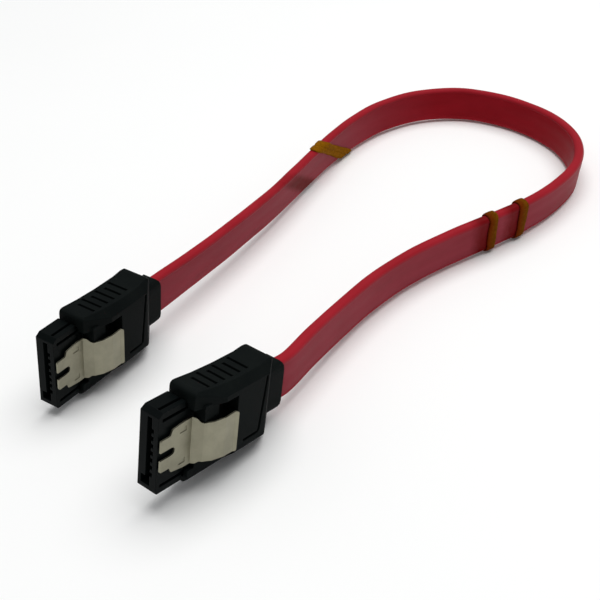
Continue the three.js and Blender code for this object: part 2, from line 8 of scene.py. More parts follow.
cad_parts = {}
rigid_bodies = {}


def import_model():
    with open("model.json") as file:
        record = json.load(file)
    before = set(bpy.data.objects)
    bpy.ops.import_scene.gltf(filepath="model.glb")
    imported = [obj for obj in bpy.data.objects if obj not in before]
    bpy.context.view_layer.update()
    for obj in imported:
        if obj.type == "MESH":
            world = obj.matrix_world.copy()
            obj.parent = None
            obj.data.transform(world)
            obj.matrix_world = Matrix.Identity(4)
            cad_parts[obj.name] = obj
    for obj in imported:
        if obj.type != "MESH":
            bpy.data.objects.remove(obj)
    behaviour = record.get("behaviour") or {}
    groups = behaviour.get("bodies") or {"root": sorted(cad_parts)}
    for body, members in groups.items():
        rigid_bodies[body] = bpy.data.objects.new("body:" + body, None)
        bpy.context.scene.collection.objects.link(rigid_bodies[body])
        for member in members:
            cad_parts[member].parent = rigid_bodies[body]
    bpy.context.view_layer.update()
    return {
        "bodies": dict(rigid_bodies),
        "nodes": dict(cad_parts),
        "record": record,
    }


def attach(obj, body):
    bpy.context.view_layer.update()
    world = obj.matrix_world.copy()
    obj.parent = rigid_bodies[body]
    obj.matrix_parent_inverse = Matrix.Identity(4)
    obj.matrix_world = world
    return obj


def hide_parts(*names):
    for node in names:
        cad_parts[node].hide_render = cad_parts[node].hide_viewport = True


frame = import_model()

# %% [markdown]
# This is a short flat serial data cable with a latching plug on each end. The solids of the plugs
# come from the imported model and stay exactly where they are. What Blender adds is the soft part, the
# red cable and the bands on it, and every finish. Blender's lengths are metres, and this object is
# easier to think of in millimetres, so a small constant turns one into the other.

# %% Units
MM = 0.001


def mm(*values):
    """Millimetres to a vector in metres."""
    return Vector(values) * MM


print("one millimetre is", mm(1, 0, 0).length, "m")

# %% [markdown]
# The camera comes first, so that everything can be judged in its frame. Its place was found by
# fitting the plugs' known corners to the photograph: it stands about 22 cm from the cable, to its right
# and well above it, and is rolled by a few degrees. Three angles give its rotation: how far it is tilted
# up from looking straight down, how far it is rolled, and how far it is turned round the vertical.

# %% Camera at the photograph's viewing angle
CAMERA_AT = mm(112.97, -94.23, 109.45)
TILT, ROLL, TURN = 58.282, 4.482, 37.949

camera_data = bpy.data.cameras.new("camera")
camera_data.sensor_width = 36.0
camera_data.lens = 65.2
camera_data.clip_start = 0.005
camera_data.clip_end = 20.0
camera = bpy.data.objects.new("camera", camera_data)
bpy.context.collection.objects.link(camera)
bpy.context.scene.camera = camera
rotation = Euler([math.radians(a) for a in (TILT, ROLL, TURN)])
camera.matrix_world = Matrix.LocRotScale(CAMERA_AT, rotation, None)
print("camera at", [round(v / MM, 1) for v in camera.matrix_world.translation], "mm")

# %% [markdown]
# The cable is a flat ribbon that stands on its edge. Its middle line is a smooth curve through listed
# points: each has a place and a lean, which says how far the ribbon's upper edge tips to the right of
# the way it runs. These are the same points that the imported solid was made from, so the detailed
# ribbon lies exactly where the solid is.

# %% The route of the cable, from the far plug to the near one: x, y, z in mm and the lean in degrees
ROUTE = [
    (-20.63, 29.71, 7.2, 11.5), (-22.23, 40.31, 6.7, 12.5), (-24.13, 50.91, 6.2, 13.0),
    (-26.23, 61.51, 5.75, 13.0), (-28.83, 71.91, 5.35, 12.5), (-31.43, 82.41, 5.0, 11.0),
    (-33.63, 92.91, 4.8, 8.0), (-34.83, 103.61, 4.65, 4.5), (-34.13, 114.31, 4.6, 0.5),
    (-29.93, 124.11, 4.5, -2.5), (-21.43, 130.61, 4.35, -5.0), (-10.83, 131.81, 4.2, -6.5),
    (-0.43, 129.41, 4.1, -8.0), (9.07, 124.31, 4.1, -9.0), (16.57, 116.71, 4.1, -10.0),
    (21.17, 106.91, 4.15, -10.5), (22.37, 95.81, 4.3, -10.5), (21.32, 84.81, 4.6, -10.5),
    (18.42, 74.51, 4.7, -9.5), (15.07, 64.71, 4.6, -8.5), (12.72, 54.41, 4.7, -8.0),
    (12.07, 43.66, 5.0, -7.0), (12.82, 32.96, 5.4, -6.5), (14.27, 22.31, 6.1, -6.0),
]
print(len(ROUTE), "points on the free cable")

# %% [markdown]
# Inside each collar the cable is held straight by the plug, so three more points at each end come from
# the plug's own axis. Each plug is named by the tip of its nose and by three angles, and its way back
# and its wide way follow from them. The wide way points about upwards, because the plugs stand on their
# narrow sides, and it is also where the held ribbon's upper edge points.

# %% The two plugs' axes, and the whole line of the cable
# Each plug: the tip of its nose in mm, then its pitch, roll and turn in degrees
PLUGS = {
    "near": ((15.52, -17.14, 11.423), -9.3, 6.0, 0.0),
    "far": ((-15.56, -9.94, 9.169), -2.6, 8.3, 7.0),
}
CABLE_END, COLLAR_END = 23.0, 28.0  # mm behind the tip of the nose
HELD_AT = (CABLE_END, COLLAR_END - 1, COLLAR_END + 3)


def plug_axes(name):
    """The tip of a plug, its way back and its wide way."""
    tip, pitch, roll, turn = PLUGS[name]
    rotation = (Matrix.Rotation(math.radians(turn), 3, "Z")
                @ Matrix.Rotation(math.radians(pitch), 3, "X")
                @ Matrix.Rotation(math.radians(roll), 3, "Y"))
    return mm(*tip), rotation.col[1].copy(), rotation.col[2].copy()


def held_points(name):
    """Where a plug holds the cable, from the cable's end outwards."""
    tip, rear, _ = plug_axes(name)
    return [tip + rear * (back * MM) for back in HELD_AT]


line = held_points("far") + [mm(x, y, z) for x, y, z, _ in ROUTE] + held_points("near")[::-1]


def leaning_edge(i):
    """Which way the ribbon's upper edge points at a point of the free cable."""
    run = (line[i + 1] - line[i - 1]).normalized()
    side = run.cross(Vector((0, 0, 1))).normalized()
    lean = math.radians(ROUTE[i - len(HELD_AT)][3])
    return (side.cross(run) * math.cos(lean) + side * math.sin(lean)).normalized()


held = len(HELD_AT)
leans = [plug_axes("far")[2]] * held
leans += [leaning_edge(i) for i in range(held, len(line) - held)]
leans += [plug_axes("near")[2]] * held
print(len(line), "points on the cable's line")

# %% [markdown]
# Between two points the curve is a cubic whose end slopes come from the neighbours, spaced by the square
# root of the distances. That kind, called centripetal, doesn't overshoot where the points are closer
# together. Walking along it in small steps gives a table of distances, and with that any place on the
# cable can be named by how far along it is. That makes the ribbon, the bands and the stains easy to put
# at the right spot.

# %% Walk along the curve
def cubic(i, f):
    """Point and slope at a share f of the way between points i and i + 1 of the line."""
    p1, p2 = line[i], line[i + 1]
    p0 = line[i - 1] if i > 0 else p1 * 2 - p2
    p3 = line[i + 2] if i + 2 < len(line) else p2 * 2 - p1
    d0, d1, d2 = (math.sqrt((b - a).length) for a, b in ((p0, p1), (p1, p2), (p2, p3)))
    m1 = ((p1 - p0) / d0 - (p2 - p0) / (d0 + d1) + (p2 - p1) / d1) * d1
    m2 = ((p2 - p1) / d1 - (p3 - p1) / (d1 + d2) + (p3 - p2) / d2) * d1
    c2 = p2 * 3 - p1 * 3 - m1 * 2 - m2
    c3 = p1 * 2 - p2 * 2 + m1 + m2
    return p1 + m1 * f + c2 * (f * f) + c3 * (f ** 3), m1 + c2 * (2 * f) + c3 * (3 * f * f)


STEPS = 60  # steps between two points of the line
walk = [(0.0, 0, 0.0)]  # how far along, after which point of the line, and how much of the way to the next
last = line[0]
for i in range(len(line) - 1):
    for k in range(1, STEPS + 1):
        here = cubic(i, k / STEPS)[0]
        walk.append((walk[-1][0] + (here - last).length, i, k / STEPS))
        last = here
cable_length = walk[-1][0]


def frame_at(s):
    """The point at a distance s along the cable, with the ribbon's upward and sideways directions."""
    s = min(max(s, 0.0), cable_length)
    low, high = 0, len(walk) - 1
    while high - low > 1:
        mid = (low + high) // 2
        low, high = (mid, high) if walk[mid][0] <= s else (low, mid)
    share = (s - walk[low][0]) / (walk[high][0] - walk[low][0])
    i = walk[high][1]
    f0 = walk[low][2] if walk[low][1] == i else 0.0
    f = f0 + (walk[high][2] - f0) * share
    point, slope = cubic(i, f)
    run = slope.normalized()
    up = leans[i].lerp(leans[i + 1], f * f * (3 - 2 * f))
    up = (up - run * up.dot(run)).normalized()
    return point, up, up.cross(run).normalized()


print("cable length", round(cable_length / MM, 2), "mm")

# %% [markdown]
# The section of the ribbon is 7.9 mm wide and 2.1 mm thick, with edges that are nearly round. Inside lie
# two pairs of wires side by side, and on the real cable they press very shallow swells into both broad
# faces, with a faint valley between them.

# %% The ribbon's section, in mm
WIDTH, THICK = 7.9, 2.1
EDGE = 0.9  # the radius that rounds its two edges
SWELL = 0.05  # how deep the valley between the two pairs is


def ribbon_section(across, grow=0.0, swell=0.0):
    """Points (up, side) round the ribbon: so many across each face, and round both edges."""
    corner = 8
    w, t, r = WIDTH / 2 + grow, THICK / 2 + grow, EDGE + grow
    flat = w - r
    points = []
    for face in (1, -1):
        for k in range(across):
            u = -flat + 2 * flat * k / across
            valley = swell * (math.cos(u / flat * 2 * math.pi) * 0.5 + 0.5)
            points.append((face * u, face * (t - valley)))
        for k in range(2 * corner + 1):
            a = math.pi / 2 - math.pi * k / (2 * corner)
            middle = (t - r) * (1 if k < corner else -1 if k > corner else 0)
            points.append((face * (flat + r * math.cos(a)), face * (middle + r * math.sin(a))))
    return points


print(len(ribbon_section(across=30)), "points round the jacket")

# %% [markdown]
# The cable and its bands are both made of rings of points that are joined by four-sided faces, so two
# helpers serve them all. Each point can also carry marks, such as how far along the cable it is, and
# the finishes use them later. That is why a swept mesh is better here than a bevelled curve.

# %% Helpers that turn rings of points into a piece
def ring_faces(rings, n, closed=False):
    """Faces between rings of n points each, and from the last ring back to the first if closed."""
    faces = []
    for j in range(rings if closed else rings - 1):
        a, b = j * n, (j + 1) % rings * n
        faces += [(a + k, a + (k + 1) % n, b + (k + 1) % n, b + k) for k in range(n)]
    return faces


def new_piece(name, verts, faces, marks):
    """A mesh object with values marked on its points: its skin is smooth and its end caps are flat."""
    mesh = bpy.data.meshes.new(name)
    mesh.from_pydata([tuple(v) for v in verts], [], faces)
    for label, values in marks.items():
        mesh.attributes.new(label, "FLOAT", "POINT").data.foreach_set("value", values)
    mesh.polygons.foreach_set("use_smooth", [len(face) == 4 for face in faces])
    mesh.update()
    obj = bpy.data.objects.new(name, mesh)
    bpy.context.collection.objects.link(obj)
    size = [round(d / MM, 2) for d in obj.dimensions]
    print(name, "size", size, "mm,", len(faces), "faces")
    return obj


# %% [markdown]
# The jacket is the section set down at 561 places along the cable and joined up. A perfect sweep looks
# like a drawing of a cable, so the section's width and thickness wander a little as it goes.

# %% Sweep the section along the cable
def wander(s, u, t):
    """A real jacket is never quite even: its size wanders by a few hundredths over 1 to 3 cm."""
    edge = 0.04 * math.sin(s * 0.21 + 0.6) + 0.03 * math.sin(s * 0.47)
    return u * (1 + edge * 0.15), t * (1 + 0.012 * math.sin(s * 0.33 + u * 0.4))


def jacket(name, steps):
    """The section swept along the whole cable, with a cap on each end."""
    section = ribbon_section(across=30, swell=SWELL)
    n = len(section)
    verts, along, across = [], [], []
    for j in range(steps + 1):
        s = cable_length / MM * j / steps
        point, up, side = frame_at(s * MM)
        for u, t in section:
            u, t = wander(s, u, t)
            verts.append(point + up * (u * MM) + side * (t * MM))
            along.append(s)
            across.append(u / (WIDTH / 2))
    faces = ring_faces(steps + 1, n)
    faces.append(tuple(reversed(range(n))))
    faces.append(tuple(range(steps * n, steps * n + n)))
    return new_piece(name, verts, faces, {"along": along, "across": across})


cable = jacket("red_cable", steps=560)

# %% [markdown]
# The library wants to know which solid a new piece takes the place of, and which body it moves with.
# Here there is only one body.

# %% What a new piece stands for
def stands_for(obj, slot, *nodes):
    """A new piece rides on the one body and takes the place of these solids."""
    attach(obj, next(iter(frame["bodies"])))
    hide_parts(*nodes)


stands_for(cable, "red_jacket", "flat_cable")
print("red_cable stands for flat_cable")

# %% [markdown]
# Three olive-brown bands sit on the cable. They are what is left of an elastic band that once held the
# two legs together. A band is soft, so its edges are round and it isn't the same width all round. It
# is a closed ring: an outer skin, a rounded edge on each side, and an inner skin that stays a tenth of a
# millimetre clear of the jacket. The far band crosses the ribbon at a slant and is two strands side by
# side, so it has a valley along its middle.

# %% Rings of elastic round the cable
GRIP = COLLAR_END - CABLE_END  # the mm of cable inside a collar
SLANT = 1.8  # how far the far band runs along the cable for each millimetre down across it
BAND_THICK, BAND_GAP = 0.30, 0.13  # mm
EDGE_STEP = {1: 0.3, 2: 0.42}  # how much of its thickness a band keeps beside its strands, by their number
ROUNDNESS = 3.0  # a higher power gives a strand a flatter top
# Each band: its solid, its name, its place past the far collar and width in mm, its slant and its strands
BANDS = [
    ("far_band", "elastic_far", 75.1, 5.7, SLANT, 2),
    ("near_band_1", "elastic_near_1", 198.25, 2.4, 0.0, 1),
    ("near_band_2", "elastic_near_2", 206.35, 2.3, 0.0, 1),
]


def band_profile(strands, steps=16):
    """How high a band stands at places from -1 to 1 across its width."""
    profile = []
    for k in range(steps + 1):
        x = -1 + 2 * k / steps
        inside = 0 < k < steps
        strand = (x + 1) * strands / 2 % 1.0 * 2 - 1 if inside else 1.0
        crown = math.sqrt(max(0.0, 1 - abs(strand) ** ROUNDNESS))
        step = EDGE_STEP[strands] if inside else 0.0
        profile.append((x, step + (1 - step) * crown))
    return profile


def band(name, at, width, slant, strands):
    """A ring round the cable: its rows run over the top of the strands and back along the inside."""
    profile = band_profile(strands)
    rows = [(x, BAND_GAP + BAND_THICK * h) for x, h in profile]
    rows += [(x, BAND_GAP) for x, _ in reversed(profile[1:-1])]
    verts, strand = [], []
    for x, lift in rows:
        ring = ribbon_section(across=26, grow=lift)
        for k, (u, t) in enumerate(ring):
            # A soft ring is wavy, so its width and its place wander as it goes round by the angle a
            a = 2 * math.pi * k / len(ring)
            uneven = 1 + 0.05 * math.sin(3 * a + at) + 0.03 * math.sin(7 * a + 2 * at)
            s = GRIP + at + x * width / 2 * uneven - slant * u + 0.06 * math.sin(2 * a + at)
            point, up, side = frame_at(s * MM)
            verts.append(point + up * (u * MM) + side * (t * MM))
            strand.append(x)
    return new_piece(name, verts, ring_faces(len(rows), len(ring), closed=True), {"strand": strand})


bands = {}
for node, name, at, width, slant, strands in BANDS:
    bands[node] = band(name, at, width, slant, strands)
    stands_for(bands[node], "olive_elastic", node)

# %% [markdown]
# The cable is a cord, and its length is printed here. It is seen from end to end in the photograph, so
# its length is what the route measures. It leaves the near plug's collar and goes back into the far
# plug's collar, so its far end is the object itself. The bands go wherever it goes.

print("cord of", round(cable_length / MM, 1), "mm with", len(bands), "bands")

# %% [markdown]
# Colours are picked as they look on a screen, but light adds up in linear numbers, so one function turns
# the first kind into the second. Patterns are sized by what they are on the real thing, so another
# turns a width in millimetres into the number of times that it fits in a metre, which is what a
# texture's scale means here.

# %% Colours and pattern sizes
def linear(code):
    """A screen colour such as 8e8b7f as linear red, green, blue and alpha."""
    parts = [int(code[i:i + 2], 16) / 255 for i in (0, 2, 4)]
    return [c / 12.92 if c <= 0.04045 else ((c + 0.055) / 1.055) ** 2.4 for c in parts] + [1.0]


def each(width):
    """How many patches of a width in millimetres lie side by side in a metre."""
    return 1 / (width * MM)


print("linear 808080:", [round(v, 3) for v in linear("808080")[:3]])
print("patches of 0.2 mm in a metre:", round(each(0.2)))

# %% [markdown]
# A material is a tree of nodes that ends in one shader. The helper that adds a node takes its inputs as
# plain values or as other nodes' outputs, and gives back the one output that is wanted, so that it can be
# handed straight to the next node. A pattern very often blends two tones, so that pair has a name too.

# %% Node helpers
def fill(node, inputs):
    """Sets inputs to plain values, or joins them to the outputs of other nodes."""
    for key, value in inputs.items():
        if isinstance(value, bpy.types.NodeSocket):
            node.id_data.links.new(value, node.inputs[key])
        else:
            node.inputs[key].default_value = value


def add(tree, kind, inputs, out=0, **settings):
    """Adds a node with its settings and inputs, and returns one of its outputs."""
    node = tree.nodes.new("ShaderNode" + kind)
    for key, value in settings.items():
        setattr(node, key, value)
    fill(node, inputs)
    return node.outputs[out]


def finish(name):
    """A new material, its tree and its shader."""
    material = bpy.data.materials.new(name)
    material.use_nodes = True
    print("finish:", name)
    return material, material.node_tree, material.node_tree.nodes["Principled BSDF"]


# The places of a Mix node's factor, its two colours and its mixed colour
FACTOR, FIRST, SECOND, MIXED = 0, 6, 7, 2


def two_tones(tree, pattern, low, high, first, second):
    """The first colour where the pattern is low, the second where it is high."""
    share = add(tree, "MapRange", {"Value": pattern, "From Min": low, "From Max": high})
    colours = {FACTOR: share, FIRST: linear(first), SECOND: linear(second)}
    return add(tree, "Mix", colours, out=MIXED, data_type="RGBA")


# %% [markdown]
# The noses are a hard, glass-filled black plastic: a smooth skin with a faint greenish cast and very
# little gloss. Black isn't flat: what makes it read as plastic is how its gloss varies. So the noise goes
# mostly into the roughness and a very shallow relief, and only a little into the colour. The solids have
# sharp edges, and a bevel in the shader rounds them by about a tenth of a millimetre, as a mould would.

# %% Hard black plastic of the noses
hard, tree, shader = finish("hard_black_plastic_satin")
where = add(tree, "TexCoord", {}, out="Object")
# Clouds of 4 mm, where the melt cooled at different speeds
cloud = add(tree, "TexNoise", {"Vector": where, "Scale": each(4.0), "Detail": 4.0, "Roughness": 0.55})
# The glass fibres are a hundredth of a millimetre thick, too fine to show, so the grain is 0.2 mm
grain = add(tree, "TexNoise", {"Vector": where, "Scale": each(0.2), "Detail": 2.0, "Roughness": 0.55})
rounded = add(tree, "Bevel", {"Radius": 0.12 * MM}, samples=6)
fill(shader, {
    "Base Color": two_tones(tree, cloud, 0.35, 0.7, "070b0b", "0a0e0e"),
    "Specular IOR Level": 0.035,
    "Roughness": add(tree, "MapRange", {"Value": cloud, "From Min": 0.3, "From Max": 0.7,
                                        "To Min": 0.34, "To Max": 0.46}),
    "Normal": add(tree, "Bump", {"Height": grain, "Distance": 0.02 * MM, "Strength": 0.35,
                                 "Normal": rounded}),
})

# %% [markdown]
# The mouldings are a softer, duller black plastic, moulded round the cable. Their skin has the fine grain
# that a spark-eroded mould leaves, and a few pale specks of dust sit in it. Their edges are rounder than
# the nose's, because a soft plastic doesn't fill a sharp corner.

# %% Soft black plastic of the mouldings
soft, tree, shader = finish("soft_black_plastic_matt_grain")
where = add(tree, "TexCoord", {}, out="Object")
# Clouds of 5 mm, spark grain of 0.15 mm and specks that are the tops of a 0.4 mm pattern
cloud = add(tree, "TexNoise", {"Vector": where, "Scale": each(5.0), "Detail": 5.0, "Roughness": 0.6})
grain = add(tree, "TexNoise", {"Vector": where, "Scale": each(0.15), "Detail": 3.0, "Roughness": 0.6})
dust = add(tree, "TexNoise", {"Vector": where, "Scale": each(0.4), "Detail": 1.0, "Roughness": 0.55})
specks = add(tree, "MapRange", {"Value": dust, "From Min": 0.74, "From Max": 0.79, "To Max": 0.35})
black = two_tones(tree, cloud, 0.35, 0.7, "0a0e0e", "101413")
some_grain = add(tree, "Math", {0: grain, 1: 0.4}, operation="MULTIPLY")
dull = add(tree, "Math", {0: cloud, 1: some_grain}, operation="ADD")
rounded = add(tree, "Bevel", {"Radius": 0.2 * MM}, samples=6)
fill(shader, {
    "Base Color": add(tree, "Mix", {FACTOR: specks, FIRST: black, SECOND: linear("3a3a34")},
                      out=MIXED, data_type="RGBA"),
    "Specular IOR Level": 0.03,
    "Roughness": add(tree, "MapRange", {"Value": dull, "From Min": 0.45, "From Max": 0.9,
                                        "To Min": 0.5, "To Max": 0.64}),
    "Normal": add(tree, "Bump", {"Height": grain, "Distance": 0.05 * MM, "Strength": 0.6,
                                 "Normal": rounded}),
})

# %% [markdown]
# The latch is rolled spring steel: warm grey, satin, with fine lines along the way it was rolled, which is
# the length of the plug. Noise squeezed across the lines and drawn out along them gives that look. The
# lines go into the roughness and the relief, so they show only where light grazes them.

# %% Spring steel
steel, tree, shader = finish("rolled_spring_steel_satin")
where = add(tree, "TexCoord", {}, out="Object")
# Rolling lines are a few hundredths of a millimetre wide, too fine to show, so these are 0.11 by 4 mm
rolled = add(tree, "Mapping", {"Vector": where, "Scale": (each(0.11), each(4.0), each(0.11))})
lines = add(tree, "TexNoise", {"Vector": rolled, "Scale": 1.0, "Detail": 3.0, "Roughness": 0.6})
# Handling leaves blotches of 2.4 mm
blotch = add(tree, "TexNoise", {"Vector": where, "Scale": each(2.4), "Detail": 3.0, "Roughness": 0.55})
sheen = add(tree, "Math", {0: lines, 1: blotch}, operation="ADD")
rounded = add(tree, "Bevel", {"Radius": 0.06 * MM}, samples=6)
fill(shader, {
    "Base Color": two_tones(tree, blotch, 0.35, 0.7, "83806f", "918e7c"),
    "Metallic": 1.0,
    "Anisotropic": 0.35,
    "Roughness": add(tree, "MapRange", {"Value": sheen, "From Min": 0.7, "From Max": 1.3,
                                        "To Min": 0.32, "To Max": 0.46}),
    "Normal": add(tree, "Bump", {"Height": lines, "Distance": 0.02 * MM, "Strength": 0.3,
                                 "Normal": rounded}),
})

# %% [markdown]
# Behind the latch and in the slot are the small inner pieces: gold-plated contacts, bare copper ground
# wires and white insulated cores. They hardly show, but each gets its own finish, because the model may
# be opened up or seen from below. They are built alike: one pattern, stretched along the wires and cores
# as they were drawn, blends two tones and varies the gloss. So a loop makes the three from a short table.

# %% Contacts, wires and cores
# Each finish: its name, how metallic it is, its pattern's size in mm along X, Y and Z, the pattern's
# detail, its two tones and its lowest and highest roughness
INNER_FINISHES = {
    "gold_plated_contact": (
        "gold_plated_contact", 1.0, (1.1, 1.1, 1.1), 4.0, "d9b56a", "c99f52", 0.2, 0.36),
    "copper_wire": (
        "bare_drawn_copper", 1.0, (0.17, 3.3, 0.17), 3.0, "c57a4e", "a9613a", 0.25, 0.42),
    "white_insulation": (
        "white_core_insulation", 0.0, (0.4, 5.0, 0.4), 3.0, "e4e4de", "d3d4cf", 0.4, 0.55),
}
finishes = {"hard_black_plastic": hard, "soft_black_plastic": soft, "spring_steel": steel}
for slot, (name, metallic, size, detail, light, dark, smooth, rough) in INNER_FINISHES.items():
    finishes[slot], tree, shader = finish(name)
    where = add(tree, "TexCoord", {}, out="Object")
    drawn = add(tree, "Mapping", {"Vector": where, "Scale": [each(width) for width in size]})
    streaks = add(tree, "TexNoise", {"Vector": drawn, "Scale": 1.0, "Detail": detail, "Roughness": 0.55})
    fill(shader, {
        "Base Color": two_tones(tree, streaks, 0.35, 0.7, light, dark),
        "Metallic": metallic,
        "Roughness": add(tree, "MapRange", {"Value": streaks, "From Min": 0.3, "From Max": 0.7,
                                            "To Min": smooth, "To Max": rough}),
    })

# %% [markdown]
# Every carried-over solid keeps its shape and gets its finish by the slot that the record names for it,
# so one short table does for both plugs.

# %% Give each solid its finish
for part in frame["record"]["subparts"]:
    material = finishes.get(part["material_slot"])
    if material:
        mesh = frame["nodes"][part["node"]].data
        mesh.materials.clear()
        mesh.materials.append(material)

# %% [markdown]
# The jacket is a red extruded plastic. Its skin has very fine lines along the cable from the die and a
# slightly uneven gloss. Its patterns must follow the cable round its loop, so they aren't placed by where
# a point is in the room but by the marks that the sweep left on it: how far along the cable it is, and
# how high up the ribbon, as -1 at the lower edge and 1 at the upper one.

# %% Red jacket: its skin, laid out flat in millimetres
red, tree, shader = finish("red_cable_jacket_extruded")
along = add(tree, "Attribute", {}, out="Fac", attribute_name="along")
across = add(tree, "Attribute", {}, out="Fac", attribute_name="across")
height = add(tree, "Math", {0: across, 1: WIDTH / 2}, operation="MULTIPLY")
skin = add(tree, "CombineXYZ", {"X": along, "Y": height})
# Die lines are too fine to show, so these are drawn 0.11 mm wide, and 8 mm long
drawn = add(tree, "Mapping", {"Vector": skin, "Scale": (1 / 8, 1 / 0.11, 1)})
die = add(tree, "TexNoise", {"Vector": drawn, "Scale": 1.0, "Detail": 3.0, "Roughness": 0.55})
# Clouds of 3 by 11 mm, and a fine grain of 0.24 mm
drawn = add(tree, "Mapping", {"Vector": skin, "Scale": (1 / 11, 1 / 3, 1)})
cloud = add(tree, "TexNoise", {"Vector": drawn, "Scale": 1.0, "Detail": 4.0, "Roughness": 0.55})
where = add(tree, "TexCoord", {}, out="Object")
fine = add(tree, "TexNoise", {"Vector": where, "Scale": each(0.24), "Detail": 2.0, "Roughness": 0.55})

# %% [markdown]
# Its two edges are a brighter red, a painted highlight for the light that falls on the upper edge, and its
# broad faces are darker, with a painted greyish sheen, a painted reflection of the pale floor, on the two
# legs that fades out towards the middle of the loop.

# %% Red jacket: painted highlight on the edges and painted sheen on the faces
LOOP_MIDDLE = cable_length / MM / 2
# Where the painted greyish sheen starts and where it is full, in mm from the middle of the loop
SHEEN_FREE_WITHIN, FULL_SHEEN_BEYOND = 22.0, 55.0  # mm from the middle of the loop
# The brighter red of the two edges is a painted highlight, for the light that falls on the upper edge from
# above
lit_edges = two_tones(tree, cloud, 0.3, 0.7, "951d27", "9f222d")
# The faces' own red, then the same red under a painted greyish sheen, a painted reflection of the pale
# floor
unsheened_face = two_tones(tree, cloud, 0.3, 0.7, "82121b", "8c1620")
sheened_face = two_tones(tree, cloud, 0.3, 0.7, "832e37", "8d3640")
offset = add(tree, "Math", {0: along, 1: LOOP_MIDDLE}, operation="SUBTRACT")
from_middle = add(tree, "Math", {0: offset}, operation="ABSOLUTE")
# The painted sheen is full on the two legs and gone near the middle of the loop
sheen_on_legs = add(tree, "MapRange", {"Value": from_middle, "From Min": SHEEN_FREE_WITHIN, "From Max": FULL_SHEEN_BEYOND})
face_with_painted_sheen = add(tree, "Mix", {FACTOR: sheen_on_legs, FIRST: unsheened_face, SECOND: sheened_face}, out=MIXED, data_type="RGBA")
from_centre = add(tree, "Math", {0: across}, operation="ABSOLUTE")
broad = add(tree, "MapRange", {"Value": from_centre, "From Min": 0.72, "From Max": 0.92,
                               "To Min": 1.0, "To Max": 0.0})
tone = add(tree, "Mix", {FACTOR: broad, FIRST: lit_edges, SECOND: face_with_painted_sheen}, out=MIXED, data_type="RGBA")
print("the middle of the loop is", round(LOOP_MIDDLE, 1), "mm along")

# %% [markdown]
# Beside each near band the jacket is painted dark red: painted shadow of the band, partly a stain. It
# starts under the band's edge towards the near plug and fades out along the cable. A noise is added to the
# distance along, so that its end is ragged.

# %% Red jacket: the painted shadow and stain beside the near bands
FULL_FOR, GONE_BY = 2.4, 5.0  # mm past the band's edge
# Noise of 1.1 mm that makes the ends of the painted shadows ragged
ragged_noise = add(tree, "TexNoise", {"Vector": where, "Scale": each(1.1), "Detail": 3.0, "Roughness": 0.55})
shift = add(tree, "Math", {0: ragged_noise, 1: 1.4}, operation="MULTIPLY")
ragged = add(tree, "Math", {0: along, 1: shift}, operation="ADD")
fades = []
# Beside each near band: painted shadow of the band, partly a stain, that fades out along the cable
for _, name, at, width, _, _ in BANDS[1:]:
    edge = GRIP + at + width / 2
    start = add(tree, "MapRange", {"Value": ragged, "From Min": edge - 1.0, "From Max": edge + 0.2})
    fade = add(tree, "MapRange", {"Value": ragged, "From Min": edge + FULL_FOR, "From Max": edge + GONE_BY,
                                  "To Min": 1.0, "To Max": 0.0})
    fades.append(add(tree, "Math", {0: start, 1: fade}, operation="MULTIPLY"))
    print("stain beside", name, "from", round(edge, 2), "mm")
either = add(tree, "Math", {0: fades[0], 1: fades[1]}, operation="MAXIMUM")
# The painted shadow beside the bands is a little heavier towards the lower edge
low = add(tree, "MapRange", {"Value": across, "From Min": -0.9, "From Max": 0.9,
                             "To Min": 1.0, "To Max": 0.8})
beside = add(tree, "Math", {0: either, 1: low}, operation="MULTIPLY")

# %% [markdown]
# On the far leg a painted shadow of an elastic strand crosses the lower part of the face. It runs at the
# far band's slant, because that is where the same elastic once lay.

# %% Red jacket: the painted strand shadow on the far leg
# A painted shadow of an elastic strand, slanted like the far band, across the far leg
STRAND_SHADOW_AT, STRAND_SHADOW_HALF = 61.7, 3.2  # mm along the cable, and half of the smear's width
slope = add(tree, "Math", {0: across, 1: SLANT * WIDTH / 2}, operation="MULTIPLY")
slanted = add(tree, "Math", {0: ragged, 1: slope}, operation="ADD")
offset = add(tree, "Math", {0: slanted, 1: STRAND_SHADOW_AT}, operation="SUBTRACT")
away = add(tree, "Math", {0: offset}, operation="ABSOLUTE")
painted_strand_shadow = add(tree, "MapRange", {"Value": away, "From Min": STRAND_SHADOW_HALF - 1.0, "From Max": STRAND_SHADOW_HALF + 1.6,
                               "To Min": 1.0, "To Max": 0.0})
jitter = add(tree, "Math", {0: ragged_noise, 1: 0.5}, operation="MULTIPLY")
level = add(tree, "Math", {0: across, 1: jitter}, operation="ADD")
# The painted shadow is kept to the lower part of the face
lower_part = add(tree, "MapRange", {"Value": level, "From Min": 0.6, "From Max": 1.4,
                                    "To Min": 1.0, "To Max": 0.0})
painted_strand_shadow_low = add(tree, "Math", {0: painted_strand_shadow, 1: lower_part}, operation="MULTIPLY")
# The painted shadows, with the stain beside the near bands, as one mask
painted_shadow_and_stain = add(tree, "Math", {0: beside, 1: painted_strand_shadow_low}, operation="MAXIMUM")
print("smear at", STRAND_SHADOW_AT, "mm along, on a cable of", round(cable_length / MM, 1), "mm")

# %% [markdown]
# Now the skin, the tones, and the painted shadows and stain come together in the shader. The gloss is one
# number for the whole jacket, because a gloss level that varies would be lost when the model is exported.

# %% Red jacket: the shader
some_die = add(tree, "Math", {0: die, 1: 0.5}, operation="MULTIPLY")
dull = add(tree, "Math", {0: cloud, 1: some_die}, operation="ADD")
some_fine = add(tree, "Math", {0: fine, 1: 0.4}, operation="MULTIPLY")
relief = add(tree, "Math", {0: die, 1: some_fine}, operation="ADD")
